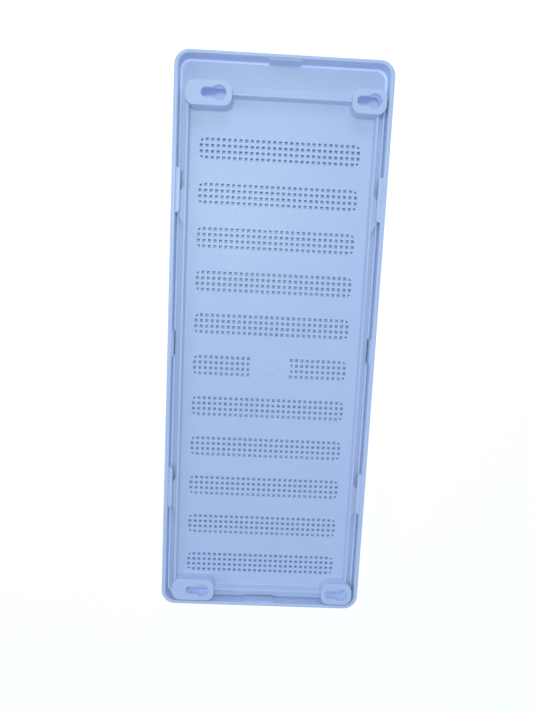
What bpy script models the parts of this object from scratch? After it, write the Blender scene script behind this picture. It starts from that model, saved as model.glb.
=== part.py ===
"""Adjustable hit-and-miss wall vent: a slotted cover that slides on a screened back plate.

The vent lies on its face. X runs across it, Y along it, and Z from the room side, at 0,
to the wall side. The cover stands at the closed end of its slide, with its bars behind
the plate's screens. It opens towards -Y.
"""

import math

import bmesh
import bpy

# Sliding cover: a shallow tray with a slotted face
COVER_LENGTH = 0.2340
COVER_WIDTH = 0.0880
COVER_CORNER_RADIUS = 0.0062
SIDE_WALL = 0.0019
END_WALL = 0.0015
FACE_THICKNESS = 0.0020
SKIRT_DEPTH = 0.0070
FACE_EDGE_ROUND = 0.0014
RIM_ROUND = 0.0004
WALL_DRAFT = 0.0003
FLOOR_FILLET = 0.0005

# Bands of screen in the plate, and the slots in the cover that uncover them
BAND_PITCH = 0.0180
BAND_END_MARGIN = 0.0040
BAR_OVERLAP = 0.00045
SLOT_SIDE_MARGIN = 0.0007
SLOT_CORNER_RADIUS = 0.0025

# Finger dish in the middle of the face
DISH_RADIUS = 0.0090
DISH_DEPTH = 0.0011
DISH_WALL_SLOPE = 0.0008
DISH_SLOT_MARGIN = 0.0020

# Screens: the solid holds one hole for each two by two of the moulded ones
SCREEN_HOLE_WIDTH = 0.00337
SCREEN_HOLE_HEIGHT = 0.0037
SCREEN_BAR = 0.0011
SCREEN_COLUMNS = 15
SCREEN_ROWS = 2
SCREEN_SHIFT = -0.0005
SCREEN_BREAK_RADIUS = 0.0070

# Back plate
WEB_THICKNESS = 0.0016
PLATE_CORNER_RADIUS = 0.0040
RIDGE_HEIGHT = 0.0035
RIDGE_THICKNESS = 0.0010
RIDGE_SIDE_INSET = 0.0024
RIDGE_END_INSET = 0.0038
RIDGE_CORNER_RADIUS = 0.0030
RIDGE_DRAFT = 0.0003

# Keyhole bosses that stand on the wall
BOSS_HEIGHT = 0.0060
BOSS_LENGTH_Y = 0.0093
BOSS_END_INSET = 0.0001
BOSS_CORNER_RADIUS = 0.0036
BOSS_WALL = 0.0010
BOSS_ROOF = 0.0016
BOSS_EDGE_ROUND = 0.0004
KEYHOLE_SPACING_X = 0.0622
KEYHOLE_END_DISTANCE = 0.0048
KEYHOLE_RUN = 0.0052
KEYHOLE_SLOT_RADIUS = 0.00185
KEYHOLE_HEAD_RADIUS = 0.0029
KEYHOLE_CLEARANCE = 0.0003
LEFT_BOSS_PAST_RIDGE = 0.0003
LEFT_BOSS_EXTRA = 0.0005

# Lugs of the cover that hook over tongues on the plate's ridge
LUG_LENGTH = 0.0180
LUG_REACH = 0.00165
LUG_THICKNESS = 0.0017
LUG_CENTRE = 0.0631
LUG_CORNER_RADIUS = 0.0012
TONGUE_ROOT_LENGTH = 0.0180
TONGUE_END_RUN = 0.0045
TONGUE_HEIGHT = 0.0024
TONGUE_CENTRE = 0.0622
TONGUE_EDGE_INSET = 0.0001

# Guide pads in the middle of each wall of the cover
SIDE_PAD_LENGTH = 0.0112
END_PAD_LENGTH = 0.0134
PAD_THICKNESS = 0.0005
PAD_BELOW_ROUND = 0.0004

# Running clearances
SLIDE_GAP = 0.0003
GUIDE_GAP = 0.0003
LUG_GAP = 0.0003

# How far a shape runs into the one it joins, and a cutter past the wall it cuts
BITE = 0.0006
CORNER_SEGMENTS = 5
ROUND_SEGMENTS = 24
SHARP_ANGLE = math.radians(35)

SLIDE_TRAVEL = BAND_PITCH / 2
FLOOR_Z = FACE_THICKNESS
RIM_Z = FLOOR_Z + SKIRT_DEPTH
WEB_FRONT_Z = FLOOR_Z + SLIDE_GAP
WEB_BACK_Z = WEB_FRONT_Z + WEB_THICKNESS
PLATE_Y = -SLIDE_TRAVEL / 2
INNER_HALF_WIDTH = COVER_WIDTH / 2 - SIDE_WALL
INNER_HALF_LENGTH = COVER_LENGTH / 2 - END_WALL
PLATE_HALF_WIDTH = INNER_HALF_WIDTH - PAD_THICKNESS - GUIDE_GAP
PLATE_HALF_LENGTH = INNER_HALF_LENGTH - PAD_THICKNESS - GUIDE_GAP - SLIDE_TRAVEL / 2
RIDGE_HALF_WIDTH = PLATE_HALF_WIDTH - RIDGE_SIDE_INSET
RIDGE_HALF_LENGTH = PLATE_HALF_LENGTH - RIDGE_END_INSET
BOSS_Y = PLATE_HALF_LENGTH - BOSS_END_INSET - BOSS_LENGTH_Y / 2
KEYHOLE_Y = PLATE_HALF_LENGTH - KEYHOLE_END_DISTANCE
BAND_HEIGHT = SCREEN_ROWS * SCREEN_HOLE_HEIGHT + (SCREEN_ROWS - 1) * SCREEN_BAR
BAND_WIDTH = SCREEN_COLUMNS * SCREEN_HOLE_WIDTH + (SCREEN_COLUMNS - 1) * SCREEN_BAR
SLOT_HEIGHT = BAND_PITCH - BAND_HEIGHT - 2 * BAR_OVERLAP
SLOT_HALF_WIDTH = BAND_WIDTH / 2 + SLOT_SIDE_MARGIN
LUG_UNDERSIDE_Z = WEB_BACK_Z + TONGUE_HEIGHT + LUG_GAP

# The middle band lies half the travel below the plate's centre, with as many on each side of
# it as the ridge leaves room for at that end
MIDDLE_BAND_Y = -SLIDE_TRAVEL / 2
BAND_ROOM = RIDGE_HALF_LENGTH - RIDGE_THICKNESS - RIDGE_DRAFT + MIDDLE_BAND_Y - BAND_END_MARGIN
BANDS_EACH_SIDE = math.floor((BAND_ROOM - BAND_HEIGHT / 2) / BAND_PITCH)
BAND_STEPS = range(-BANDS_EACH_SIDE, BANDS_EACH_SIDE + 1)


def clear_scene():
    for obj in list(bpy.data.objects):
        bpy.data.objects.remove(obj, do_unlink=True)


def plastic(name, colour, roughness):
    """Moulded plastic, as a Principled BSDF."""
    material = bpy.data.materials.new(name)
    material.use_nodes = True
    shader = material.node_tree.nodes["Principled BSDF"]
    shader.inputs["Base Color"].default_value = (*colour, 1.0)
    shader.inputs["Roughness"].default_value = roughness
    shader.inputs["Metallic"].default_value = 0.0
    return material


def rounded_rectangle(half_x, half_y, radius, centre=(0.0, 0.0)):
    """Outline points, counter-clockwise seen from +Z."""
    points = []
    for quarter, (sign_x, sign_y) in enumerate(((1, 1), (-1, 1), (-1, -1), (1, -1))):
        corner_x = centre[0] + sign_x * (half_x - radius)
        corner_y = centre[1] + sign_y * (half_y - radius)
        for step in range(CORNER_SEGMENTS + 1):
            angle = (quarter + step / CORNER_SEGMENTS) * math.pi / 2
            points.append((corner_x + radius * math.cos(angle), corner_y + radius * math.sin(angle)))
    return points


def keyhole(centre_x, centre_y):
    """A slot that ends round at the screw's seat and opens into the hole for its head."""
    points = []
    steps = ROUND_SEGMENTS // 2
    for step in range(steps + 1):
        angle = math.pi / 2 + math.pi * step / steps
        points.append((centre_x + KEYHOLE_SLOT_RADIUS * math.cos(angle),
                       centre_y + KEYHOLE_SLOT_RADIUS * math.sin(angle)))
    mouth = math.asin(KEYHOLE_SLOT_RADIUS / KEYHOLE_HEAD_RADIUS)
    for step in range(ROUND_SEGMENTS + 1):
        angle = math.pi + mouth + (2 * math.pi - 2 * mouth) * step / ROUND_SEGMENTS
        points.append((centre_x + KEYHOLE_RUN + KEYHOLE_HEAD_RADIUS * math.cos(angle),
                       centre_y + KEYHOLE_HEAD_RADIUS * math.sin(angle)))
    return points


def add_solid(bm, rings):
    """Bridges rings of points into one closed solid with a flat cap at each end."""
    loops = [[bm.verts.new(point) for point in ring] for ring in rings]
    for lower, upper in zip(loops, loops[1:]):
        for index in range(len(lower)):
            following = (index + 1) % len(lower)
            bm.faces.new((lower[index], lower[following], upper[following], upper[index]))
    bm.faces.new(list(reversed(loops[0])))
    bm.faces.new(loops[-1])


def add_prism(bm, outline, low, high):
    add_solid(bm, [[(x, y, z) for x, y in outline] for z in (low, high)])


def level_rings(half_x, half_y, radius, steps, centre=(0.0, 0.0)):
    """Rings that follow steps of (inset, height) round a rounded rectangle."""
    rings = []
    for inset, height in steps:
        outline = rounded_rectangle(half_x - inset, half_y - inset, radius - inset, centre)
        rings.append([(x, y, height) for x, y in outline])
    return rings


def mesh_object(name, bm, material=None, parent=None):
    mesh = bpy.data.meshes.new(name)
    bm.to_mesh(mesh)
    bm.free()
    obj = bpy.data.objects.new(name, mesh)
    bpy.context.scene.collection.objects.link(obj)
    if material is not None:
        mesh.materials.append(material)
    if parent is not None:
        obj.parent = parent
    return obj


def helper(name, bm, parent):
    """A shape that only cuts or joins another, and isn't shown."""
    obj = mesh_object(name, bm, parent=parent)
    obj.hide_render = True
    obj.display_type = "WIRE"
    return obj


def combine(target, operation, operand):
    modifier = target.modifiers.new(operand.name, "BOOLEAN")
    modifier.operation = operation
    modifier.solver = "EXACT"
    modifier.object = operand


def smooth_shading():
    """A node tree that shades a moulding smooth and keeps its real edges sharp."""
    tree = bpy.data.node_groups.new("smooth_shading", "GeometryNodeTree")
    tree.interface.new_socket("Geometry", in_out="INPUT", socket_type="NodeSocketGeometry")
    tree.interface.new_socket("Geometry", in_out="OUTPUT", socket_type="NodeSocketGeometry")
    start = tree.nodes.new("NodeGroupInput")
    end = tree.nodes.new("NodeGroupOutput")
    fold = tree.nodes.new("GeometryNodeInputMeshEdgeAngle")
    steep = tree.nodes.new("FunctionNodeCompare")
    steep.data_type = "FLOAT"
    steep.operation = "GREATER_THAN"
    steep.inputs["B"].default_value = SHARP_ANGLE
    soft = tree.nodes.new("GeometryNodeSetShadeSmooth")
    soft.domain = "FACE"
    crisp = tree.nodes.new("GeometryNodeSetShadeSmooth")
    crisp.domain = "EDGE"
    crisp.inputs["Shade Smooth"].default_value = False
    tree.links.new(fold.outputs["Unsigned Angle"], steep.inputs["A"])
    tree.links.new(start.outputs["Geometry"], soft.inputs["Geometry"])
    tree.links.new(soft.outputs["Geometry"], crisp.inputs["Geometry"])
    tree.links.new(steep.outputs["Result"], crisp.inputs["Selection"])
    tree.links.new(crisp.outputs["Geometry"], end.inputs["Geometry"])
    return tree


def cover_tray(material):
    """The tray: a face with a rounded edge, a drafted skirt and a rounded rim."""
    outside = []
    for step in range(CORNER_SEGMENTS):
        angle = math.pi / 2 * step / CORNER_SEGMENTS
        outside.append((WALL_DRAFT + FACE_EDGE_ROUND * (1 - math.sin(angle)),
                        FACE_EDGE_ROUND * (1 - math.cos(angle))))
    outside.append((WALL_DRAFT, FACE_EDGE_ROUND))
    outside.append((0.0, RIM_Z - RIM_ROUND))
    outside.append((RIM_ROUND, RIM_Z))
    inside = [(-RIM_ROUND, RIM_Z), (0.0, RIM_Z - RIM_ROUND),
              (0.0, FLOOR_Z + FLOOR_FILLET), (FLOOR_FILLET, FLOOR_Z)]
    bm = bmesh.new()
    add_solid(bm, level_rings(COVER_WIDTH / 2, COVER_LENGTH / 2, COVER_CORNER_RADIUS, outside)
              + level_rings(INNER_HALF_WIDTH, INNER_HALF_LENGTH, COVER_CORNER_RADIUS - SIDE_WALL, inside))
    return mesh_object("sliding_cover", bm, material)


def lug_outline(side, centre_y):
    """Square where it leaves the wall and rounded at its tip."""
    root = INNER_HALF_WIDTH + BITE
    corner_x = INNER_HALF_WIDTH - LUG_REACH + LUG_CORNER_RADIUS
    half = LUG_LENGTH / 2
    points = [(side * root, centre_y - half), (side * root, centre_y + half)]
    for quarter, corner_y in ((1, half - LUG_CORNER_RADIUS), (2, LUG_CORNER_RADIUS - half)):
        for step in range(CORNER_SEGMENTS + 1):
            angle = (quarter + step / CORNER_SEGMENTS) * math.pi / 2
            points.append((side * (corner_x + LUG_CORNER_RADIUS * math.cos(angle)),
                           centre_y + corner_y + LUG_CORNER_RADIUS * math.sin(angle)))
    return points if side > 0 else points[::-1]


def cover_lugs(parent):
    """Four retaining lugs, two on each long wall."""
    bm = bmesh.new()
    for side in (-1, 1):
        for end in (-1, 1):
            add_prism(bm, lug_outline(side, end * LUG_CENTRE),
                      LUG_UNDERSIDE_Z, LUG_UNDERSIDE_Z + LUG_THICKNESS)
    return helper("cover_lugs", bm, parent)


def cover_pads(parent):
    """A thin guide pad with sloping ends in the middle of each wall."""
    bm = bmesh.new()
    for half, length, across in ((INNER_HALF_WIDTH, SIDE_PAD_LENGTH, False),
                                 (INNER_HALF_LENGTH, END_PAD_LENGTH, True)):
        for side in (-1, 1):
            face = side * (half - PAD_THICKNESS)
            wall = side * half
            root = side * (half + BITE)
            foot_half = length / 2
            tip_half = foot_half - PAD_THICKNESS
            outline = [(face, -tip_half), (wall, -foot_half), (root, -foot_half),
                       (root, foot_half), (wall, foot_half), (face, tip_half)]
            if across:
                outline = [(y, x) for x, y in outline]
            if (side < 0) == across:
                outline.reverse()
            add_prism(bm, outline, FLOOR_Z - BITE, RIM_Z - RIM_ROUND - PAD_BELOW_ROUND)
    bmesh.ops.recalc_face_normals(bm, faces=bm.faces)
    return helper("cover_pads", bm, parent)


def cover_slots(parent):
    """One slot for each band; the middle one is broken by the finger dish."""
    bm = bmesh.new()
    for band in BAND_STEPS:
        centre_y = band * BAND_PITCH
        if band == 0:
            near = DISH_RADIUS + DISH_SLOT_MARGIN
            far = SLOT_HALF_WIDTH
            spans = [(SCREEN_SHIFT - far, -near), (near, SCREEN_SHIFT + far)]
        else:
            spans = [(SCREEN_SHIFT - SLOT_HALF_WIDTH, SCREEN_SHIFT + SLOT_HALF_WIDTH)]
        for low, high in spans:
            outline = rounded_rectangle((high - low) / 2, SLOT_HEIGHT / 2, SLOT_CORNER_RADIUS,
                                        ((low + high) / 2, centre_y))
            add_prism(bm, outline, -BITE, FLOOR_Z + BITE)
    return helper("cover_slots", bm, parent)


def finger_dish(parent):
    """A shallow round dish with a sloping wall, by which a fingertip pushes the cover."""
    bm = bmesh.new()
    slope = DISH_WALL_SLOPE / DISH_DEPTH
    rings = []
    for depth in (-BITE, DISH_DEPTH):
        radius = DISH_RADIUS - slope * depth
        rings.append([(radius * math.cos(turn), radius * math.sin(turn), depth)
                      for turn in (2 * math.pi * step / (2 * ROUND_SEGMENTS)
                                   for step in range(2 * ROUND_SEGMENTS))])
    add_solid(bm, rings)
    return helper("finger_dish", bm, parent)


def boss_spans():
    """(left, right, keyhole x) of the two bosses at an end: the left one reaches the ridge."""
    spans = []
    for side in (-1, 1):
        seat = side * KEYHOLE_SPACING_X / 2
        left = seat - KEYHOLE_SLOT_RADIUS - KEYHOLE_CLEARANCE - BOSS_WALL
        right = seat + KEYHOLE_RUN + KEYHOLE_HEAD_RADIUS + KEYHOLE_CLEARANCE + BOSS_WALL
        if side < 0:
            left = -RIDGE_HALF_WIDTH - LEFT_BOSS_PAST_RIDGE
            right += LEFT_BOSS_EXTRA
        spans.append((left, right, seat))
    return spans


def plate_web(material):
    """The flat panel of the back plate."""
    bm = bmesh.new()
    add_solid(bm, level_rings(PLATE_HALF_WIDTH, PLATE_HALF_LENGTH, PLATE_CORNER_RADIUS,
                              [(0.0, WEB_FRONT_Z), (0.0, WEB_BACK_Z)]))
    plate = mesh_object("back_plate", bm, material)
    plate.location = (0.0, PLATE_Y, 0.0)
    return plate


def plate_ridge(parent):
    """The thin upright wall that frames the screens, drafted on its inner side."""
    top = WEB_BACK_Z + RIDGE_HEIGHT
    root = WEB_BACK_Z - BITE
    steps = [(0.0, root), (0.0, top), (RIDGE_THICKNESS, top), (RIDGE_THICKNESS + RIDGE_DRAFT, root)]
    rings = level_rings(RIDGE_HALF_WIDTH, RIDGE_HALF_LENGTH, RIDGE_CORNER_RADIUS, steps)
    bm = bmesh.new()
    loops = [[bm.verts.new(point) for point in ring] for ring in rings]
    for lower, upper in zip(loops, loops[1:] + loops[:1]):
        for index in range(len(lower)):
            following = (index + 1) % len(lower)
            bm.faces.new((lower[index], lower[following], upper[following], upper[index]))
    return helper("plate_ridge", bm, parent)


def plate_bosses(parent):
    """Four bosses that stand on the wall and carry the keyholes."""
    top = WEB_BACK_Z + BOSS_HEIGHT
    steps = [(0.0, WEB_BACK_Z - BITE), (0.0, top - BOSS_EDGE_ROUND), (BOSS_EDGE_ROUND, top)]
    bm = bmesh.new()
    for end in (-1, 1):
        for left, right, _ in boss_spans():
            add_solid(bm, level_rings((right - left) / 2, BOSS_LENGTH_Y / 2, BOSS_CORNER_RADIUS,
                                      steps, ((left + right) / 2, end * BOSS_Y)))
    return helper("plate_bosses", bm, parent)


def plate_tongues(parent):
    """Raised tongues outside the ridge, with slanting ends that lead them under the lugs."""
    bm = bmesh.new()
    root = RIDGE_HALF_WIDTH - RIDGE_THICKNESS / 2
    tip = PLATE_HALF_WIDTH - TONGUE_EDGE_INSET
    half_root = TONGUE_ROOT_LENGTH / 2
    half_tip = half_root - TONGUE_END_RUN
    for side in (-1, 1):
        for end in (-1, 1):
            centre_y = end * TONGUE_CENTRE
            outline = [(side * root, centre_y - half_root), (side * tip, centre_y - half_tip),
                       (side * tip, centre_y + half_tip), (side * root, centre_y + half_root)]
            if side < 0:
                outline.reverse()
            add_prism(bm, outline, WEB_BACK_Z - BITE, WEB_BACK_Z + TONGUE_HEIGHT)
    return helper("plate_tongues", bm, parent)


def screw_pockets(parent):
    """The hollow under each boss, open at the front, in which the screw's head slides."""
    roof = WEB_BACK_Z + BOSS_HEIGHT - BOSS_ROOF
    bm = bmesh.new()
    for end in (-1, 1):
        for left, right, _ in boss_spans():
            outline = rounded_rectangle((right - left) / 2 - BOSS_WALL, BOSS_LENGTH_Y / 2 - BOSS_WALL,
                                        BOSS_CORNER_RADIUS - BOSS_WALL,
                                        ((left + right) / 2, end * BOSS_Y))
            add_prism(bm, outline, WEB_FRONT_Z - BITE, roof)
    return helper("screw_pockets", bm, parent)


def keyholes(parent):
    """Keyholes through the bosses' roofs, all with the head's hole to the right."""
    top = WEB_BACK_Z + BOSS_HEIGHT
    bm = bmesh.new()
    for end in (-1, 1):
        for _, _, seat in boss_spans():
            add_prism(bm, keyhole(seat, end * KEYHOLE_Y), top - BOSS_ROOF - BITE, top + BITE)
    return helper("keyholes", bm, parent)


def screen_holes(parent):
    """The square holes of the fly screens, one band above another."""
    bm = bmesh.new()
    pitch_x = SCREEN_HOLE_WIDTH + SCREEN_BAR
    pitch_y = SCREEN_HOLE_HEIGHT + SCREEN_BAR
    for band in BAND_STEPS:
        band_y = MIDDLE_BAND_Y + band * BAND_PITCH
        for column in range(SCREEN_COLUMNS):
            x = (column - (SCREEN_COLUMNS - 1) / 2) * pitch_x
            if band == 0 and abs(x) - SCREEN_HOLE_WIDTH / 2 < SCREEN_BREAK_RADIUS:
                continue
            for row in range(SCREEN_ROWS):
                y = band_y + (row - (SCREEN_ROWS - 1) / 2) * pitch_y
                half_x = SCREEN_HOLE_WIDTH / 2
                half_y = SCREEN_HOLE_HEIGHT / 2
                left = x + SCREEN_SHIFT - half_x
                right = x + SCREEN_SHIFT + half_x
                outline = [(left, y - half_y), (right, y - half_y), (right, y + half_y), (left, y + half_y)]
                add_prism(bm, outline, WEB_FRONT_Z - BITE, WEB_BACK_Z + BITE)
    return helper("screen_holes", bm, parent)


def build_cover(material):
    cover = cover_tray(material)
    combine(cover, "UNION", cover_lugs(cover))
    combine(cover, "UNION", cover_pads(cover))
    combine(cover, "DIFFERENCE", cover_slots(cover))
    combine(cover, "DIFFERENCE", finger_dish(cover))
    return cover


def build_plate(material):
    plate = plate_web(material)
    combine(plate, "UNION", plate_ridge(plate))
    combine(plate, "UNION", plate_bosses(plate))
    combine(plate, "UNION", plate_tongues(plate))
    combine(plate, "DIFFERENCE", screw_pockets(plate))
    combine(plate, "DIFFERENCE", keyholes(plate))
    combine(plate, "DIFFERENCE", screen_holes(plate))
    return plate


clear_scene()
shading = smooth_shading()
for moulding in (build_cover(plastic("cover_plastic", (0.42, 0.53, 0.82), 0.38)),
                 build_plate(plastic("plate_plastic", (0.38, 0.50, 0.80), 0.45))):
    moulding.modifiers.new("smooth_shading", "NODES").node_group = shading
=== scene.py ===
import math

import bmesh
import bpy
from mathutils import Matrix, Vector


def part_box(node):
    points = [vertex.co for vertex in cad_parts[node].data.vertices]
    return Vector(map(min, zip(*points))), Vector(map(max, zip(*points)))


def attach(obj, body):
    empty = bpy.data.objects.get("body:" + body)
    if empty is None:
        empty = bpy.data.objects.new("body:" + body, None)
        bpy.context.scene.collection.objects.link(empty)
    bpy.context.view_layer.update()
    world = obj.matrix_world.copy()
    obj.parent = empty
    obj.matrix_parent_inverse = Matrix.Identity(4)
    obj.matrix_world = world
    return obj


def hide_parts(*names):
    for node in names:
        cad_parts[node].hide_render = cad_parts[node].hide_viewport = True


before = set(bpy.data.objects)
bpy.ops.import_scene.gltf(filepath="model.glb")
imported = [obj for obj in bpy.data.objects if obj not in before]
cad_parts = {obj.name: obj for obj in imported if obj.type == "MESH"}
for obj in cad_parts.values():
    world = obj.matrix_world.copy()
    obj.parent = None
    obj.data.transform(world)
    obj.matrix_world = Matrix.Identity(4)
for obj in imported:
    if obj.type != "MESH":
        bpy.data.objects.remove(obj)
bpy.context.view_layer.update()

# Sliding cover
# The outer moulding, a shallow tray that lies on its slotted face here. It is injection moulded
# in high-impact polystyrene: a 2 mm face with a round edge, and drafted walls with a round rim.
MM = 0.001
SIDE_WALL = 1.9 * MM
END_WALL = 1.5 * MM
COVER_CORNER_RADIUS = 6.2 * MM
FACE_THICKNESS = 2.0 * MM
FACE_EDGE_ROUND = 1.4 * MM
FLOOR_FILLET = 0.8 * MM
RIM_ROUND = 0.5 * MM
WALL_DRAFT = 0.3 * MM
CORNER_STEPS = 12
ROUND_STEPS = 6
COVER_PALE = "E0E6F7"
COVER_DEEP = "D9E0F3"
COVER_ROUGHNESS = 0.36
COVER_GRAIN_DEPTH = 0.02 * MM
FLOW_WIDTH = 16.0 * MM
FLOW_DETAIL = 3.0
GRAIN_WIDTH = 0.6 * MM
GRAIN_DETAIL = 2.0
GRAIN_LOW = 0.3
GRAIN_HIGH = 0.7
GRAIN_BUMP = 0.5
SHEEN_SPREAD = 0.05
POLYSTYRENE_IOR = 1.59
SCATTER_SHARE = 0.08
SCATTER_DEPTH = 0.8 * MM
EVEN_SCATTER = (1.0, 1.0, 1.0)
# Painted shade: the bluer tone of the screens' hole walls.
PAINTED_HOLE_SHADE_TONE = "CFE0FF"
# Tint of the painted glow that marked faces give off.
PAINTED_GLOW_TINT = "B4CBF5"

cover_low, cover_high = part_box("sliding_cover")
rim_z = cover_high.z
floor_z = cover_low.z + FACE_THICKNESS
inner_x = cover_high.x - SIDE_WALL
inner_y = cover_high.y - END_WALL
inner_radius = COVER_CORNER_RADIUS - SIDE_WALL


def linear(code):
    """An sRGB hex colour as linear light."""
    parts = [int(code[start:start + 2], 16) / 255 for start in (0, 2, 4)]
    light = [part / 12.92 if part <= 0.04045 else ((part + 0.055) / 1.055) ** 2.4 for part in parts]
    return (*light, 1.0)


def add(tree, kind, inputs=None, **settings):
    """Adds a node with its settings; each input is a value, or the socket that feeds it."""
    node = tree.nodes.new(kind)
    for name, value in settings.items():
        setattr(node, name, value)
    for name, value in (inputs or {}).items():
        if isinstance(value, bpy.types.NodeSocket):
            tree.links.new(value, node.inputs[name])
        else:
            node.inputs[name].default_value = value
    return node


def moulded_polystyrene(name, pale, deep, roughness, grain_depth):
    """High-impact polystyrene as it leaves the mould: opaque, faintly waxy, with a fine grain.

    The melt leaves pale patches some 16 mm wide. The mould's spark-eroded grain is drawn 0.6 mm
    wide, coarser than the real 0.1 mm, so that it shows as a soft satin.
    Faces marked as the screens' hole walls get a painted shade, bluer, in place of the light that
    narrow holes pass from wall to wall. Faces marked for it carry a painted glow by their mark's
    value, in place of the daylight that thin walls let through.
    """
    made = bpy.data.materials.new(name)
    made.use_nodes = True
    tree = made.node_tree
    shader = tree.nodes["Principled BSDF"]
    place = add(tree, "ShaderNodeTexCoord").outputs["Object"]
    flow = add(tree, "ShaderNodeTexNoise", {"Vector": place, "Scale": 1 / FLOW_WIDTH,
                                            "Detail": FLOW_DETAIL})
    tint = add(tree, "ShaderNodeMixRGB", {"Fac": flow.outputs["Fac"], "Color1": linear(deep),
                                          "Color2": linear(pale)})
    # Painted shade: marked hole walls take the bluer tone.
    hole_wall = add(tree, "ShaderNodeAttribute", attribute_name="hole_wall")
    tone = add(tree, "ShaderNodeMixRGB", {"Fac": hole_wall.outputs["Fac"],
                                          "Color1": tint.outputs["Color"],
                                          "Color2": linear(PAINTED_HOLE_SHADE_TONE)})
    # Painted glow: marked faces give off light by their mark's value, though they are no lamp.
    lit_through = add(tree, "ShaderNodeAttribute", attribute_name="lit_through")
    grain = add(tree, "ShaderNodeTexNoise", {"Vector": place, "Scale": 1 / GRAIN_WIDTH,
                                             "Detail": GRAIN_DETAIL})
    sheen = add(tree, "ShaderNodeMapRange", {"Value": grain.outputs["Fac"],
                                             "From Min": GRAIN_LOW, "From Max": GRAIN_HIGH,
                                             "To Min": roughness - SHEEN_SPREAD,
                                             "To Max": roughness + SHEEN_SPREAD})
    bump = add(tree, "ShaderNodeBump", {"Height": grain.outputs["Fac"], "Strength": GRAIN_BUMP,
                                        "Distance": grain_depth})
    tree.links.new(tone.outputs["Color"], shader.inputs["Base Color"])
    tree.links.new(sheen.outputs["Result"], shader.inputs["Roughness"])
    tree.links.new(lit_through.outputs["Fac"], shader.inputs["Emission Strength"])
    tree.links.new(bump.outputs["Normal"], shader.inputs["Normal"])
    shader.inputs["Emission Color"].default_value = linear(PAINTED_GLOW_TINT)
    shader.inputs["IOR"].default_value = POLYSTYRENE_IOR
    shader.inputs["Subsurface Weight"].default_value = SCATTER_SHARE
    shader.inputs["Subsurface Radius"].default_value = EVEN_SCATTER
    shader.inputs["Subsurface Scale"].default_value = SCATTER_DEPTH
    return made


def ring(low_x, high_x, low_y, high_y, radius, z):
    """Points round a level rounded rectangle, counter-clockwise seen from above."""
    corners = ((high_x - radius, high_y - radius), (low_x + radius, high_y - radius),
               (low_x + radius, low_y + radius), (high_x - radius, low_y + radius))
    points = []
    for quarter, (corner_x, corner_y) in enumerate(corners):
        for step in range(CORNER_STEPS + 1):
            turn = (quarter + step / CORNER_STEPS) * math.pi / 2
            points.append((corner_x + radius * math.cos(turn), corner_y + radius * math.sin(turn), z))
    return points


def centred_ring(half_x, half_y, radius, z, middle_y=0.0):
    """The same about the object's centre line, with its middle at middle_y."""
    return ring(-half_x, half_x, middle_y - half_y, middle_y + half_y, radius, z)


def quarter_round(radius):
    """(inset, rise) steps of a quarter circle that starts upright and ends level."""
    return [(radius * (1 - math.cos(turn)), radius * math.sin(turn))
            for turn in (math.pi / 2 * step / ROUND_STEPS for step in range(ROUND_STEPS + 1))]


def add_body(shape, rings, looped=False):
    """Bridges rings of points into a closed skin, capped at both ends or looped on itself."""
    loops = [[shape.verts.new(point) for point in points] for points in rings]
    pairs = list(zip(loops, loops[1:]))
    if looped:
        pairs.append((loops[-1], loops[0]))
    for lower, upper in pairs:
        for index in range(len(lower)):
            after = (index + 1) % len(lower)
            shape.faces.new((lower[index], lower[after], upper[after], upper[index]))
    if not looped:
        shape.faces.new(list(reversed(loops[0])))
        shape.faces.new(loops[-1])


def make_object(name, shape, material):
    """An object at the origin with this shape as its mesh, its faces outwards."""
    bmesh.ops.recalc_face_normals(shape, faces=shape.faces)
    mesh = bpy.data.meshes.new(name)
    shape.to_mesh(mesh)
    shape.free()
    mesh.materials.append(material)
    made = bpy.data.objects.new(name, mesh)
    bpy.context.scene.collection.objects.link(made)
    return made


def combine(body, operation, tool):
    """Joins the tool to the body, or cuts it out of it.

    A tool bites into what it joins and runs on past what it cuts, so that no two faces coincide.
    """
    step = body.modifiers.new(tool.name, "BOOLEAN")
    step.operation = operation
    step.solver = "EXACT"
    step.object = tool


cover_plastic = moulded_polystyrene("cover_moulded_polystyrene", COVER_PALE, COVER_DEEP,
                                    COVER_ROUGHNESS, COVER_GRAIN_DEPTH)
tray_rings = []
for inset, rise in reversed(quarter_round(FACE_EDGE_ROUND)):
    margin = WALL_DRAFT + inset
    tray_rings.append(centred_ring(cover_high.x - margin, cover_high.y - margin,
                                   COVER_CORNER_RADIUS - margin, cover_low.z + FACE_EDGE_ROUND - rise))
for inset, rise in quarter_round(RIM_ROUND):
    tray_rings.append(centred_ring(cover_high.x - inset, cover_high.y - inset,
                                   COVER_CORNER_RADIUS - inset, rim_z - RIM_ROUND + rise))
for inset, rise in reversed(quarter_round(RIM_ROUND)):
    tray_rings.append(centred_ring(inner_x + inset, inner_y + inset, inner_radius + inset,
                                   rim_z - RIM_ROUND + rise))
for inset, rise in quarter_round(FLOOR_FILLET):
    tray_rings.append(centred_ring(inner_x - inset, inner_y - inset, inner_radius - inset,
                                   floor_z + FLOOR_FILLET - rise))
tray_shape = bmesh.new()
add_body(tray_shape, tray_rings)
tray = make_object("cover_moulding", tray_shape, cover_plastic)

# Lugs and guide pads
# Four lugs on the long walls snap over the plate's tongues and hold the mouldings together.
# A thin pad in the middle of each wall guides the plate. All are moulded with the cover.
LUG_LENGTH = 18.0 * MM
LUG_REACH = 1.65 * MM
LUG_THICKNESS = 1.7 * MM
LUG_CENTRE = 63.1 * MM
LUG_CORNER_RADIUS = 1.2 * MM
LUG_ROOT = 1.3 * MM
LUG_EDGE_ROUND = 0.25 * MM
LUG_ABOVE_FLOOR = 4.6 * MM
SIDE_PAD_LENGTH = 11.2 * MM
END_PAD_LENGTH = 13.4 * MM
PAD_THICKNESS = 0.5 * MM
PAD_BELOW_RIM = 0.8 * MM
BITE = 0.6 * MM


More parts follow.
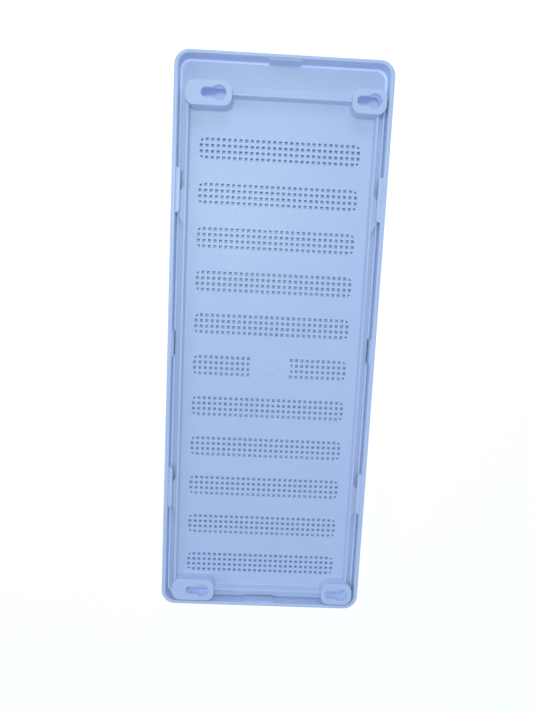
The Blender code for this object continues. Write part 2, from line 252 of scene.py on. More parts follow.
def rounded_levels(radius, low_z, high_z):
    """(inset, z) steps up a slab whose lower and upper edges are rounded."""
    return ([(inset, low_z + radius - rise) for inset, rise in reversed(quarter_round(radius))]
            + [(inset, high_z - radius + rise) for inset, rise in quarter_round(radius)])


lug_shape = bmesh.new()
lug_low = floor_z + LUG_ABOVE_FLOOR
lug_levels = rounded_levels(LUG_EDGE_ROUND, lug_low, lug_low + LUG_THICKNESS)
for side in (-1, 1):
    low_x, high_x = sorted((side * (inner_x - LUG_REACH), side * (inner_x + LUG_ROOT)))
    for end in (-1, 1):
        low_y = end * LUG_CENTRE - LUG_LENGTH / 2
        high_y = low_y + LUG_LENGTH
        add_body(lug_shape, [ring(low_x + inset, high_x - inset, low_y + inset, high_y - inset,
                                  LUG_CORNER_RADIUS - inset, z) for inset, z in lug_levels])
lugs = make_object("lug_shapes", lug_shape, cover_plastic)
combine(tray, "UNION", lugs)

pad_shape = bmesh.new()
for half, length, across in ((inner_x, SIDE_PAD_LENGTH, False), (inner_y, END_PAD_LENGTH, True)):
    for side in (-1, 1):
        face = side * (half - PAD_THICKNESS)
        outline = [(face, PAD_THICKNESS - length / 2), (side * half, -length / 2),
                   (side * (half + BITE), -length / 2), (side * (half + BITE), length / 2),
                   (side * half, length / 2), (face, length / 2 - PAD_THICKNESS)]
        if across:
            outline = [(y, x) for x, y in outline]
        add_body(pad_shape, [[(x, y, z) for x, y in outline]
                             for z in (floor_z - BITE, rim_z - PAD_BELOW_RIM)])
pads = make_object("pad_shapes", pad_shape, cover_plastic)
combine(tray, "UNION", pads)

# Air slots
# One slot through the face for each band of screen, 18 mm apart, with its edge on the room
# side rounded in the mould. The middle one is in two halves, beside the finger dish.
BAND_PITCH = 18.0 * MM
BANDS_EACH_SIDE = 5
SLOT_HEIGHT = 8.6 * MM
SLOT_HALF_WIDTH = 33.7 * MM
SLOT_CORNER_RADIUS = 2.5 * MM
SLOT_EDGE_ROUND = 0.4 * MM
SCREEN_SHIFT = -0.5 * MM
DISH_RADIUS = 9.0 * MM
DISH_SLOT_MARGIN = 2.0 * MM


def node_tree(name, inputs):
    """An empty Geometry Nodes tree with these named inputs, and the sockets that give them."""
    tree = bpy.data.node_groups.new(name, "GeometryNodeTree")
    for label, kind in inputs.items():
        tree.interface.new_socket(label, in_out="INPUT", socket_type=kind)
    tree.interface.new_socket("Geometry", in_out="OUTPUT", socket_type="NodeSocketGeometry")
    return tree, add(tree, "NodeGroupInput").outputs


def finish_tree(tree, instances, material):
    """Ends the tree: what it placed becomes real geometry in this material."""
    real = add(tree, "GeometryNodeRealizeInstances", {"Geometry": instances})
    dressed = add(tree, "GeometryNodeSetMaterial", {"Geometry": real.outputs["Geometry"],
                                                    "Material": material})
    add(tree, "NodeGroupOutput", {"Geometry": dressed.outputs["Geometry"]})


def grow(name, tree, values):
    """The plain object that a Geometry Nodes tree makes from these values."""
    made = bpy.data.objects.new(name, bpy.data.meshes.new(name))
    bpy.context.scene.collection.objects.link(made)
    step = made.modifiers.new(name, "NODES")
    step.node_group = tree
    for item in tree.interface.items_tree:
        if item.in_out == "INPUT":
            step[item.identifier] = values[item.name]
    mesh = bpy.data.meshes.new_from_object(made.evaluated_get(bpy.context.evaluated_depsgraph_get()))
    made.modifiers.clear()
    made.data = mesh
    return made


def slot_rings(low_x, high_x):
    """Rings of a slot's cutter, which flares where the slot opens in the room side."""
    levels = [(SLOT_EDGE_ROUND, cover_low.z - BITE)]
    levels += [(SLOT_EDGE_ROUND - rise, cover_low.z + inset)
               for inset, rise in quarter_round(SLOT_EDGE_ROUND)]
    levels += [(0.0, floor_z + BITE)]
    return [ring(low_x - flare, high_x + flare, -SLOT_HEIGHT / 2 - flare, SLOT_HEIGHT / 2 + flare,
                 SLOT_CORNER_RADIUS + flare, z) for flare, z in levels]


one_slot_shape = bmesh.new()
add_body(one_slot_shape, slot_rings(-SLOT_HALF_WIDTH, SLOT_HALF_WIDTH))
one_slot = make_object("one_slot", one_slot_shape, cover_plastic)

slot_tree, given = node_tree("slot_row", {
    "Slot": "NodeSocketObject", "Slots": "NodeSocketInt", "Pitch": "NodeSocketFloat",
    "First": "NodeSocketFloat", "Shift": "NodeSocketFloat", "Left Out": "NodeSocketInt",
    "Plastic": "NodeSocketMaterial"})
start = add(slot_tree, "ShaderNodeCombineXYZ", {"X": given["Shift"], "Y": given["First"]})
spacing = add(slot_tree, "ShaderNodeCombineXYZ", {"Y": given["Pitch"]})
line = add(slot_tree, "GeometryNodeMeshLine", {"Count": given["Slots"],
                                               "Start Location": start.outputs["Vector"],
                                               "Offset": spacing.outputs["Vector"]})
number = add(slot_tree, "GeometryNodeInputIndex")
middle = add(slot_tree, "FunctionNodeCompare", {"A": number.outputs["Index"], "B": given["Left Out"]},
             data_type="FLOAT", operation="EQUAL")
kept = add(slot_tree, "GeometryNodeDeleteGeometry", {"Geometry": line.outputs["Mesh"],
                                                     "Selection": middle.outputs["Result"]},
           domain="POINT")
shape = add(slot_tree, "GeometryNodeObjectInfo", {"Object": given["Slot"]})
placed = add(slot_tree, "GeometryNodeInstanceOnPoints", {"Points": kept.outputs["Geometry"],
                                                         "Instance": shape.outputs["Geometry"]})
finish_tree(slot_tree, placed.outputs["Instances"], given["Plastic"])
slots = grow("slot_shapes", slot_tree, {
    "Slot": one_slot, "Slots": 2 * BANDS_EACH_SIDE + 1, "Pitch": BAND_PITCH,
    "First": -BANDS_EACH_SIDE * BAND_PITCH, "Shift": SCREEN_SHIFT, "Left Out": BANDS_EACH_SIDE,
    "Plastic": cover_plastic})
combine(tray, "DIFFERENCE", slots)

half_slot_shape = bmesh.new()
for low_x, high_x in ((SCREEN_SHIFT - SLOT_HALF_WIDTH, -DISH_RADIUS - DISH_SLOT_MARGIN),
                      (DISH_RADIUS + DISH_SLOT_MARGIN, SCREEN_SHIFT + SLOT_HALF_WIDTH)):
    add_body(half_slot_shape, slot_rings(low_x, high_x))
half_slots = make_object("half_slot_shapes", half_slot_shape, cover_plastic)
combine(tray, "DIFFERENCE", half_slots)

# Finger dish
# A shallow round hollow in the middle of the face, by which a fingertip pushes the cover. It
# is moulded with soft edges, and only the room side shows it.
DISH_DEPTH = 1.1 * MM
DISH_WALL_SLOPE = 0.8 * MM
DISH_EDGE_ROUND = 0.4 * MM
CIRCLE_STEPS = 72
SHARP_ANGLE = math.radians(32)
# Strength of the painted glow on the rounded foot inside the tray's walls.
WALL_FOOT_PAINTED_GLOW = 0.4
UPRIGHT_LIMIT = 0.05
LEVEL_LIMIT = 0.95


def circle(radius, z, middle=(0.0, 0.0)):
    """Points round a level circle, counter-clockwise seen from above."""
    return [(middle[0] + radius * math.cos(turn), middle[1] + radius * math.sin(turn), z)
            for turn in (2 * math.pi * step / CIRCLE_STEPS for step in range(CIRCLE_STEPS))]


def finish_moulding(body, tools):
    """Makes the joins and cuts real, and shades round edges smooth beside flat faces."""
    view = bpy.context.evaluated_depsgraph_get()
    mesh = bpy.data.meshes.new_from_object(body.evaluated_get(view))
    body.modifiers.clear()
    for tool in tools:
        bpy.data.objects.remove(tool, do_unlink=True)
    mesh.shade_smooth()
    mesh.set_sharp_from_angle(angle=SHARP_ANGLE)
    body.data = mesh
    steady = body.modifiers.new("steady_shading", "WEIGHTED_NORMAL")
    steady.keep_sharp = True
    view = bpy.context.evaluated_depsgraph_get()
    body.data = bpy.data.meshes.new_from_object(body.evaluated_get(view))
    body.modifiers.clear()
    body.data.name = body.name


def mark_faces(body, name, value, chosen):
    """Gives the faces that chosen(centre, normal) picks this value of a named attribute."""
    marks = body.data.attributes.get(name) or body.data.attributes.new(name, "FLOAT", "FACE")
    for face in body.data.polygons:
        if chosen(face.center, face.normal):
            marks.data[face.index].value = value


def at_wall_foot(centre, normal):
    """Whether this is one of the strips that round the inside foot of the tray's walls."""
    return floor_z < centre.z < floor_z + FLOOR_FILLET and UPRIGHT_LIMIT < normal.z < LEVEL_LIMIT


dish_rings = [circle(DISH_RADIUS + DISH_EDGE_ROUND, cover_low.z - BITE)]
for inset, rise in quarter_round(DISH_EDGE_ROUND):
    dish_rings.append(circle(DISH_RADIUS + DISH_EDGE_ROUND - rise, cover_low.z + inset))
for inset, rise in quarter_round(DISH_EDGE_ROUND):
    dish_rings.append(circle(DISH_RADIUS - DISH_WALL_SLOPE - inset,
                             cover_low.z + DISH_DEPTH - DISH_EDGE_ROUND + rise))
dish_shape = bmesh.new()
add_body(dish_shape, dish_rings)
dish = make_object("dish_shape", dish_shape, cover_plastic)
combine(tray, "DIFFERENCE", dish)
finish_moulding(tray, (lugs, pads, one_slot, slots, half_slots, dish))
# The rounded foot inside the tray's walls gets a painted glow, light painted into that corner.
mark_faces(tray, "lit_through", WALL_FOOT_PAINTED_GLOW, at_wall_foot)
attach(tray, "sliding_cover")
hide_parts("sliding_cover")

# Back plate
# The inner moulding, in the same polystyrene with a duller, deeper grain. A flat panel 1.6 mm
# thick slides in the tray, and a thin ridge frames its screens and fits into the wall's opening.
WEB_THICKNESS = 1.6 * MM
PLATE_CORNER_RADIUS = 4.0 * MM
PLATE_EDGE_ROUND = 0.3 * MM
RIDGE_HEIGHT = 3.5 * MM
RIDGE_THICKNESS = 1.0 * MM
RIDGE_SIDE_INSET = 2.4 * MM
RIDGE_END_INSET = 3.8 * MM
RIDGE_CORNER_RADIUS = 3.0 * MM
RIDGE_DRAFT = 0.3 * MM
RIDGE_TOP_ROUND = 0.3 * MM
RIDGE_FOOT_ROUND = 0.4 * MM
SINK = 0.01 * MM
PLATE_PALE = "DEE4F6"
PLATE_DEEP = "D7DEF2"
PLATE_ROUGHNESS = 0.42
PLATE_GRAIN_DEPTH = 0.03 * MM

plate_low, plate_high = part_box("back_plate")
plate_y = (plate_low.y + plate_high.y) / 2
plate_half_x = plate_high.x
plate_half_y = plate_high.y - plate_y
web_z = plate_low.z + WEB_THICKNESS
ridge_half_x = plate_half_x - RIDGE_SIDE_INSET
ridge_half_y = plate_half_y - RIDGE_END_INSET

plate_plastic = moulded_polystyrene("plate_moulded_polystyrene", PLATE_PALE, PLATE_DEEP,
                                    PLATE_ROUGHNESS, PLATE_GRAIN_DEPTH)
panel_shape = bmesh.new()
add_body(panel_shape, [centred_ring(plate_half_x - inset, plate_half_y - inset,
                                    PLATE_CORNER_RADIUS - inset, z, plate_y)
                       for inset, z in rounded_levels(PLATE_EDGE_ROUND, plate_low.z, web_z)])
panel = make_object("plate_moulding", panel_shape, plate_plastic)

ridge_foot = quarter_round(RIDGE_FOOT_ROUND)
ridge_top = quarter_round(RIDGE_TOP_ROUND)
shoulder = RIDGE_HEIGHT - RIDGE_TOP_ROUND
root_inset = RIDGE_THICKNESS + RIDGE_DRAFT + RIDGE_FOOT_ROUND
ridge_section = [(rise - RIDGE_FOOT_ROUND, inset - SINK) for inset, rise in ridge_foot]
ridge_section += [(inset, shoulder + rise) for inset, rise in ridge_top]
ridge_section += [(RIDGE_THICKNESS - inset, shoulder + rise) for inset, rise in reversed(ridge_top)]
ridge_section += [(root_inset - rise, inset - SINK) for inset, rise in reversed(ridge_foot)]
ridge_section += [(root_inset, -BITE), (-RIDGE_FOOT_ROUND, -BITE)]
ridge_shape = bmesh.new()
add_body(ridge_shape, [centred_ring(ridge_half_x - inset, ridge_half_y - inset,
                                    RIDGE_CORNER_RADIUS - inset, web_z + height, plate_y)
                       for inset, height in ridge_section], looped=True)
ridge = make_object("ridge_shape", ridge_shape, plate_plastic)
combine(panel, "UNION", ridge)

# Tongues
# Four flat tongues outside the ridge, which the cover's lugs hook over. Their slanting ends
# lead the lugs on when the cover is pressed home.
TONGUE_ROOT_LENGTH = 18.0 * MM
TONGUE_END_RUN = 4.5 * MM
TONGUE_HEIGHT = 2.4 * MM
TONGUE_CENTRE = 62.2 * MM
TONGUE_EDGE_INSET = 0.1 * MM
TONGUE_CHAMFER = 0.15 * MM

tongue_shape = bmesh.new()
tongue_root = ridge_half_x - RIDGE_THICKNESS / 2
for side in (-1, 1):
    for end in (-1, 1):
        middle = plate_y + end * TONGUE_CENTRE
        levels = []
        for inset, height in ((0.0, -BITE), (0.0, TONGUE_HEIGHT - TONGUE_CHAMFER),
                              (TONGUE_CHAMFER, TONGUE_HEIGHT)):
            root = TONGUE_ROOT_LENGTH / 2 - inset
            tip = root - TONGUE_END_RUN
            tip_x = plate_half_x - TONGUE_EDGE_INSET - inset
            levels.append([(side * tongue_root, middle - root, web_z + height),
                           (side * tip_x, middle - tip, web_z + height),
                           (side * tip_x, middle + tip, web_z + height),
                           (side * tongue_root, middle + root, web_z + height)])
        add_body(tongue_shape, levels)
tongues = make_object("tongue_shapes", tongue_shape, plate_plastic)
combine(panel, "UNION", tongues)

# Keyhole bosses
# Four bosses stand on the wall and lift the cover clear of it. Each is a hollow moulding with
# a keyhole in its roof: a screw's head enters the round hole and slides under the slot.
BOSS_LENGTH = 9.3 * MM
BOSS_END_INSET = 0.1 * MM
BOSS_CORNER_RADIUS = 3.6 * MM
BOSS_WALL = 1.0 * MM
BOSS_ROOF = 1.6 * MM
BOSS_EDGE_ROUND = 0.3 * MM
BOSS_FOOT_ROUND = 0.6 * MM
KEYHOLE_SPACING = 62.2 * MM
KEYHOLE_END_DISTANCE = 4.8 * MM
KEYHOLE_RUN = 5.2 * MM
KEYHOLE_SLOT_RADIUS = 1.85 * MM
KEYHOLE_HEAD_RADIUS = 2.9 * MM
KEYHOLE_BEND_RADIUS = 1.0 * MM
KEYHOLE_CLEARANCE = 0.3 * MM
KEYHOLE_EDGE_ROUND = 0.25 * MM
KEYHOLE_STEPS = 16
LEFT_BOSS_PAST_RIDGE = 0.3 * MM
LEFT_BOSS_EXTRA = 0.5 * MM
BOSS_SIDE_SWELL = 0.6 * MM
BOSS_INNER_SWELL = 0.4 * MM

# The bosses are drawn a little fuller than the CAD's, round the same pockets: at the end that is
# nearer the vent's middle, and at the sides, apart from the left ones' outer side.
boss_top = plate_high.z
bosses = []
for end in (-1, 1):
    far_y = plate_y + end * (plate_half_y - BOSS_END_INSET)
    low_y, high_y = sorted((far_y, far_y - end * BOSS_LENGTH))
    swell_low, swell_high = (BOSS_INNER_SWELL, 0.0) if end > 0 else (0.0, BOSS_INNER_SWELL)
    for side in (-1, 1):
        seat = side * KEYHOLE_SPACING / 2
        low_x = seat - KEYHOLE_SLOT_RADIUS - KEYHOLE_CLEARANCE - BOSS_WALL
        high_x = seat + KEYHOLE_RUN + KEYHOLE_HEAD_RADIUS + KEYHOLE_CLEARANCE + BOSS_WALL
        if side < 0:
            low_x = -ridge_half_x - LEFT_BOSS_PAST_RIDGE
            high_x += LEFT_BOSS_EXTRA
        pocket = (low_x + BOSS_WALL, high_x - BOSS_WALL, low_y + BOSS_WALL, high_y - BOSS_WALL)
        outside = (low_x - (BOSS_SIDE_SWELL if side > 0 else 0.0), high_x + BOSS_SIDE_SWELL,
                   low_y - swell_low, high_y + swell_high)
        hole_y = plate_y + end * (plate_half_y - KEYHOLE_END_DISTANCE)
        bosses.append((end, outside, pocket, seat, hole_y))


def keyhole_ring(seat, y, grown, z):
    """Points round a keyhole, larger all round by grown, with round bends beside the slot."""
    slot = KEYHOLE_SLOT_RADIUS + grown
    head = KEYHOLE_HEAD_RADIUS + grown
    bend = KEYHOLE_BEND_RADIUS - grown
    bend_x = KEYHOLE_RUN - math.sqrt((head + bend) ** 2 - (slot + bend) ** 2)
    mouth = math.atan2(slot + bend, KEYHOLE_RUN - bend_x)
    arcs = ((0.0, 0.0, slot, math.pi / 2, 3 * math.pi / 2),
            (bend_x, -slot - bend, bend, math.pi / 2, mouth),
            (KEYHOLE_RUN, 0.0, head, mouth - math.pi, math.pi - mouth),
            (bend_x, slot + bend, bend, -mouth, -math.pi / 2))
    return [(seat + middle_x + radius * math.cos(turn), y + middle_y + radius * math.sin(turn), z)
            for middle_x, middle_y, radius, first, last in arcs
            for turn in (first + (last - first) * step / KEYHOLE_STEPS
                         for step in range(KEYHOLE_STEPS + 1))]


boss_shape = bmesh.new()
pocket_shape = bmesh.new()
keyhole_shape = bmesh.new()
for end, (low_x, high_x, low_y, high_y), pocket, seat, hole_y in bosses:
    section = [(BOSS_FOOT_ROUND, web_z - BITE)]
    section += [(BOSS_FOOT_ROUND - rise, web_z - SINK + inset)
                for inset, rise in quarter_round(BOSS_FOOT_ROUND)]
    section += [(-inset, boss_top - BOSS_EDGE_ROUND + rise)
                for inset, rise in quarter_round(BOSS_EDGE_ROUND)]
    boss_rings = []
    for flare, z in section:
        low_flare = min(flare, 0.0) if end < 0 else flare
        high_flare = min(flare, 0.0) if end > 0 else flare
        boss_rings.append(ring(low_x - flare, high_x + flare, low_y - low_flare, high_y + high_flare,
                               BOSS_CORNER_RADIUS + flare, z))
    add_body(boss_shape, boss_rings)
    add_body(pocket_shape, [ring(*pocket, BOSS_CORNER_RADIUS - BOSS_WALL, z)
                            for z in (plate_low.z - BITE, boss_top - BOSS_ROOF)])
    add_body(keyhole_shape, [keyhole_ring(seat, hole_y, 0.0, boss_top - BOSS_ROOF - BITE)]
             + [keyhole_ring(seat, hole_y, inset, boss_top - KEYHOLE_EDGE_ROUND + rise)
                for inset, rise in quarter_round(KEYHOLE_EDGE_ROUND)]
             + [keyhole_ring(seat, hole_y, KEYHOLE_EDGE_ROUND, boss_top + BITE)])
boss_bodies = make_object("boss_shapes", boss_shape, plate_plastic)
pockets = make_object("pocket_shapes", pocket_shape, plate_plastic)
keyholes = make_object("keyhole_shapes", keyhole_shape, plate_plastic)
combine(panel, "UNION", boss_bodies)
combine(panel, "DIFFERENCE", pockets)
combine(panel, "DIFFERENCE", keyholes)

# Pin mark
# Where the mould's ejector pin pressed on the plain patch in the middle of the panel, it left a
# disc that stands a hair proud.
PIN_MARK_PLACE = (-0.2 * MM, -9.0 * MM)
PIN_MARK_RADIUS = 3.3 * MM
PIN_MARK_HEIGHT = 0.2 * MM
PIN_MARK_SLOPE = 0.25 * MM

pin_shape = bmesh.new()
add_body(pin_shape, [circle(PIN_MARK_RADIUS + PIN_MARK_SLOPE, web_z - BITE, PIN_MARK_PLACE),
                     circle(PIN_MARK_RADIUS + PIN_MARK_SLOPE, web_z - SINK, PIN_MARK_PLACE),
                     circle(PIN_MARK_RADIUS, web_z + PIN_MARK_HEIGHT, PIN_MARK_PLACE)])
pin_mark = make_object("pin_mark_shape", pin_shape, plate_plastic)
combine(panel, "UNION", pin_mark)

# Fly screens
# Eleven bands of square holes moulded through the panel, 29 by 4 to a band. A rounded window
# in the mould clips each band's corner holes, and the middle band leaves a round plain patch.
SCREEN_COLUMNS = 29
SCREEN_ROWS = 4
SCREEN_PITCH_X = 2.312 * MM
SCREEN_PITCH_Y = 2.396 * MM
SCREEN_HOLE = 1.3 * MM
SCREEN_HOLE_DRAFT = 0.06 * MM
SCREEN_WINDOW_RADIUS = 2.2 * MM
SCREEN_WINDOW_STEPS = 6
SCREEN_PATCH_RADIUS = 9.1 * MM
SCREEN_PATCH_STEPS = 96
SCREEN_PATCH_X = -0.2 * MM
SCREEN_MIDDLE_X = -0.35 * MM
MIDDLE_BAND_Y = -4.65 * MM
TOOL_REACH = 5.0 * MM
PEG_SIDES = 4
PEG_LOWERING = -0.5
HOLE_WALL_LIMIT = 0.5
# Strength of the painted glow on the screens' hole walls.
HOLE_PAINTED_GLOW = 0.03
# Strength of the painted glow inside the bosses' pockets.
POCKET_PAINTED_GLOW = 0.2

screen_tree, given = node_tree("screen_bands", {
    "Columns": "NodeSocketInt", "Rows": "NodeSocketInt", "Bands": "NodeSocketInt",
    "Grid Width": "NodeSocketFloat", "Grid Height": "NodeSocketFloat",
    "Window Width": "NodeSocketFloat", "Window Height": "NodeSocketFloat",
    "Window Radius": "NodeSocketFloat", "Hole Top": "NodeSocketFloat",
    "Hole Bottom": "NodeSocketFloat", "Depth": "NodeSocketFloat", "Band Pitch": "NodeSocketFloat",
    "Patch Radius": "NodeSocketFloat", "Patch X": "NodeSocketFloat", "Middle": "NodeSocketInt",
    "First Band": "NodeSocketVector", "Plastic": "NodeSocketMaterial"})

# One band: square pegs on a grid, clipped by the rounded window. A cone stands on its origin, so
# each peg is lowered by half its depth.
grid = add(screen_tree, "GeometryNodeMeshGrid", {
    "Size X": given["Grid Width"], "Size Y": given["Grid Height"],
    "Vertices X": given["Columns"], "Vertices Y": given["Rows"]})
peg = add(screen_tree, "GeometryNodeMeshCone", {
    "Vertices": PEG_SIDES, "Radius Top": given["Hole Top"], "Radius Bottom": given["Hole Bottom"],
    "Depth": given["Depth"]})
squared = add(screen_tree, "GeometryNodeTransform", {
    "Geometry": peg.outputs["Mesh"], "Rotation": (0.0, 0.0, math.pi / PEG_SIDES)})
centre_z = add(screen_tree, "ShaderNodeMath", {0: given["Depth"], 1: PEG_LOWERING},
               operation="MULTIPLY")
lowered = add(screen_tree, "ShaderNodeCombineXYZ", {"Z": centre_z.outputs["Value"]})
peg_down = add(screen_tree, "GeometryNodeTransform", {
    "Geometry": squared.outputs["Geometry"], "Translation": lowered.outputs["Vector"]})
pegs = add(screen_tree, "GeometryNodeInstanceOnPoints", {
    "Points": grid.outputs["Mesh"], "Instance": peg_down.outputs["Geometry"]})
loose = add(screen_tree, "GeometryNodeRealizeInstances", {"Geometry": pegs.outputs["Instances"]})
outline = add(screen_tree, "GeometryNodeCurvePrimitiveQuadrilateral", {
    "Width": given["Window Width"], "Height": given["Window Height"]})
window_outline = add(screen_tree, "GeometryNodeFilletCurve", {
    "Curve": outline.outputs["Curve"], "Radius": given["Window Radius"]}, mode="POLY")
window_outline.inputs["Count"].default_value = SCREEN_WINDOW_STEPS
upright = add(screen_tree, "GeometryNodeCurvePrimitiveLine", {
    "Start": (0.0, 0.0, -TOOL_REACH), "End": (0.0, 0.0, TOOL_REACH)})
window = add(screen_tree, "GeometryNodeCurveToMesh", {
    "Curve": upright.outputs["Curve"], "Profile Curve": window_outline.outputs["Curve"],
    "Fill Caps": True})
clipped = add(screen_tree, "GeometryNodeMeshBoolean", operation="INTERSECT", solver="EXACT")
screen_tree.links.new(loose.outputs["Geometry"], clipped.inputs["Mesh 2"])
screen_tree.links.new(window.outputs["Mesh"], clipped.inputs["Mesh 2"])

# The middle band is the same, less the plain patch.
patch_place = add(screen_tree, "ShaderNodeCombineXYZ", {"X": given["Patch X"]})
patch = add(screen_tree, "GeometryNodeMeshCylinder", {
    "Vertices": SCREEN_PATCH_STEPS, "Radius": given["Patch Radius"], "Depth": 2 * TOOL_REACH})
patch_there = add(screen_tree, "GeometryNodeTransform", {
    "Geometry": patch.outputs["Mesh"], "Translation": patch_place.outputs["Vector"]})
broken = add(screen_tree, "GeometryNodeMeshBoolean", {"Mesh 1": clipped.outputs["Mesh"]},
             operation="DIFFERENCE", solver="EXACT")
screen_tree.links.new(patch_there.outputs["Geometry"], broken.inputs["Mesh 2"])

# A line of points along the panel takes the broken band in its middle and whole bands elsewhere.
step_y = add(screen_tree, "ShaderNodeCombineXYZ", {"Y": given["Band Pitch"]})
band_line = add(screen_tree, "GeometryNodeMeshLine", {
    "Count": given["Bands"], "Start Location": given["First Band"],
    "Offset": step_y.outputs["Vector"]})
number = add(screen_tree, "GeometryNodeInputIndex").outputs["Index"]
in_middle = add(screen_tree, "FunctionNodeCompare", {"A": number, "B": given["Middle"]},
                data_type="FLOAT", operation="EQUAL")
whole_bands = add(screen_tree, "GeometryNodeDeleteGeometry", {
    "Geometry": band_line.outputs["Mesh"], "Selection": in_middle.outputs["Result"]}, domain="POINT")
apart = add(screen_tree, "FunctionNodeCompare", {"A": number, "B": given["Middle"]},
            data_type="FLOAT", operation="NOT_EQUAL")
middle_band = add(screen_tree, "GeometryNodeDeleteGeometry", {
    "Geometry": band_line.outputs["Mesh"], "Selection": apart.outputs["Result"]}, domain="POINT")
plain_bands = add(screen_tree, "GeometryNodeInstanceOnPoints", {
    "Points": whole_bands.outputs["Geometry"], "Instance": clipped.outputs["Mesh"]})
broken_band = add(screen_tree, "GeometryNodeInstanceOnPoints", {
    "Points": middle_band.outputs["Geometry"], "Instance": broken.outputs["Mesh"]})
all_bands = add(screen_tree, "GeometryNodeJoinGeometry")
screen_tree.links.new(plain_bands.outputs["Instances"], all_bands.inputs["Geometry"])
screen_tree.links.new(broken_band.outputs["Instances"], all_bands.inputs["Geometry"])
finish_tree(screen_tree, all_bands.outputs["Geometry"], given["Plastic"])

grid_width = (SCREEN_COLUMNS - 1) * SCREEN_PITCH_X
grid_height = (SCREEN_ROWS - 1) * SCREEN_PITCH_Y
screens = grow("screen_shapes", screen_tree, {
    "Columns": SCREEN_COLUMNS, "Rows": SCREEN_ROWS, "Bands": 2 * BANDS_EACH_SIDE + 1,
    "Grid Width": grid_width, "Grid Height": grid_height, "Window Width": grid_width + SCREEN_HOLE,
    "Window Height": grid_height + SCREEN_HOLE, "Window Radius": SCREEN_WINDOW_RADIUS,
    "Hole Top": SCREEN_HOLE / math.sqrt(2),
    "Hole Bottom": (SCREEN_HOLE - SCREEN_HOLE_DRAFT) / math.sqrt(2),
    "Depth": WEB_THICKNESS + 2 * BITE, "Band Pitch": BAND_PITCH, "Patch Radius": SCREEN_PATCH_RADIUS,
    "Patch X": SCREEN_PATCH_X - SCREEN_MIDDLE_X, "Middle": BANDS_EACH_SIDE,
    "First Band": (SCREEN_MIDDLE_X, plate_y + MIDDLE_BAND_Y - BANDS_EACH_SIDE * BAND_PITCH,
                   web_z - WEB_THICKNESS / 2),
    "Plastic": plate_plastic})
combine(panel, "DIFFERENCE", screens)
finish_moulding(panel, (ridge, tongues, boss_bodies, pockets, keyholes, pin_mark, screens))


def in_screen_hole(centre, normal):
    """Whether this is a wall of one of the screens' holes."""
    return (abs(normal.z) < HOLE_WALL_LIMIT and plate_low.z < centre.z < web_z
            and abs(centre.x - SCREEN_MIDDLE_X) < grid_width / 2 + SCREEN_PITCH_X
            and abs(centre.y - plate_y - MIDDLE_BAND_Y) < BANDS_EACH_SIDE * BAND_PITCH + grid_height)


def in_pocket(centre, normal):
    """Whether this is the inside of a boss, below its roof."""
    return centre.z < boss_top - BOSS_ROOF + SINK and any(
        low_x - SINK < centre.x < high_x + SINK and low_y - SINK < centre.y < high_y + SINK
        for _, _, (low_x, high_x, low_y, high_y), _, _ in bosses)


# The screens' hole walls get a painted shade, bluer.
mark_faces(panel, "hole_wall", 1.0, in_screen_hole)
# The screens' hole walls also get a faint painted glow.
mark_faces(panel, "lit_through", HOLE_PAINTED_GLOW, in_screen_hole)
# The insides of the bosses' pockets get a painted glow, light painted where they lie in shade.
mark_faces(panel, "lit_through", POCKET_PAINTED_GLOW, in_pocket)
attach(panel, "back_plate")
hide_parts("back_plate")

# Floor, light and camera
# A table of white card, a small soft lamp close over the vent's far end, a wide one to its left
# and one past its far end, and an even surround, all a little cool. The camera is straight over
# the vent, a little towards its far end, and turned with the picture.
FLOOR_SIZE = 3.0
FLOOR_DROP = 0.02 * MM
CARD_PALE = "FAFAFA"
CARD_DEEP = "F4F4F4"
CARD_FIBRE = 2.0 * MM
CARD_ROUGHNESS = 0.9
CARD_GLOW_TINT = "FFFFFF"
CARD_GLOW = 0.5
KEY_PLACE = Vector((-0.05, 0.14, 0.60))
KEY_SIZE = 0.12
KEY_POWER = 0.768
KEY_TINT = "E3FFF3"
LEFT_PLACE = Vector((-1.006, 0.0, 0.654))
LEFT_POWER = 1.54
FAR_PLACE = Vector((0.0, 1.006, 0.654))
FAR_POWER = 1.76
WIDE_SIZE = 0.6
SURROUND_STRENGTH = 0.602
COOL_TINT = "C5D8FF"
CAMERA_PLACE = Vector((-8.166, 27.565, 239.325)) * MM
CAMERA_TARGET = Vector((-1.84, -4.12, 0.0)) * MM
CAMERA_TURN = math.radians(2.716)
CAMERA_LENS = 27.887
CAMERA_SENSOR = 36.0
CAMERA_NEAR = 0.01
CAMERA_FAR = 10.0

floor_shape = bmesh.new()
bmesh.ops.create_grid(floor_shape, x_segments=1, y_segments=1, size=FLOOR_SIZE / 2)
bmesh.ops.translate(floor_shape, verts=floor_shape.verts, vec=(0.0, 0.0, cover_low.z - FLOOR_DROP))

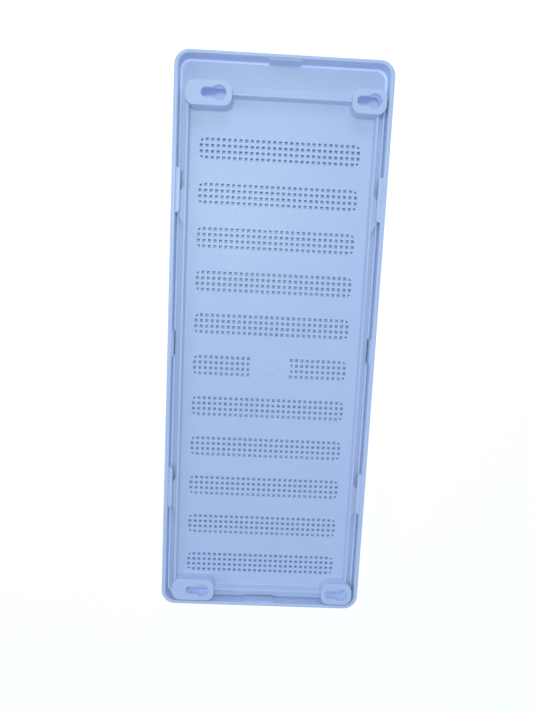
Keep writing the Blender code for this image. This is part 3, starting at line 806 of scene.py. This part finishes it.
# Matt white card gives the eye an even white, and glows here so that it comes out plain. Its
# fibres are drawn 2 mm wide, far coarser than real ones.
card = bpy.data.materials.new("matt_white_card")
card.use_nodes = True
card_shader = card.node_tree.nodes["Principled BSDF"]
card_place = add(card.node_tree, "ShaderNodeTexCoord").outputs["Object"]
fibre = add(card.node_tree, "ShaderNodeTexNoise", {"Vector": card_place, "Scale": 1 / CARD_FIBRE})
card_tint = add(card.node_tree, "ShaderNodeMixRGB", {"Fac": fibre.outputs["Fac"],
                                                     "Color1": linear(CARD_DEEP),
                                                     "Color2": linear(CARD_PALE)})
card.node_tree.links.new(card_tint.outputs["Color"], card_shader.inputs["Base Color"])
card_shader.inputs["Roughness"].default_value = CARD_ROUGHNESS
card_shader.inputs["Emission Color"].default_value = linear(CARD_GLOW_TINT)
card_shader.inputs["Emission Strength"].default_value = CARD_GLOW
floor = make_object("floor", floor_shape, card)

world = bpy.data.worlds.new("soft_surround")
world.use_nodes = True
world.node_tree.nodes["Background"].inputs["Color"].default_value = linear(COOL_TINT)
world.node_tree.nodes["Background"].inputs["Strength"].default_value = SURROUND_STRENGTH
bpy.context.scene.world = world

for name, place, size, power, tint in (("key_light", KEY_PLACE, KEY_SIZE, KEY_POWER, KEY_TINT),
                                       ("left_light", LEFT_PLACE, WIDE_SIZE, LEFT_POWER, COOL_TINT),
                                       ("far_light", FAR_PLACE, WIDE_SIZE, FAR_POWER, COOL_TINT)):
    lamp_data = bpy.data.lights.new(name, "AREA")
    lamp_data.shape = "DISK"
    lamp_data.size = size
    lamp_data.energy = power
    lamp_data.color = linear(tint)[:3]
    lamp = bpy.data.objects.new(name, lamp_data)
    lamp.location = place
    lamp.rotation_euler = (-place).to_track_quat("-Z", "Y").to_euler()
    bpy.context.scene.collection.objects.link(lamp)

back = (CAMERA_PLACE - CAMERA_TARGET).normalized()
right = Vector((-math.sin(CAMERA_TURN), math.cos(CAMERA_TURN), 0.0)).cross(back).normalized()
up = back.cross(right)
camera_data = bpy.data.cameras.new("camera")
camera_data.lens = CAMERA_LENS
camera_data.sensor_width = CAMERA_SENSOR
camera_data.clip_start = CAMERA_NEAR
camera_data.clip_end = CAMERA_FAR
camera = bpy.data.objects.new("camera", camera_data)
camera.matrix_world = Matrix((right, up, back)).transposed().to_4x4()
camera.location = CAMERA_PLACE
bpy.context.scene.collection.objects.link(camera)
bpy.context.scene.camera = camera
bpy.context.scene.view_settings.view_transform = "Standard"
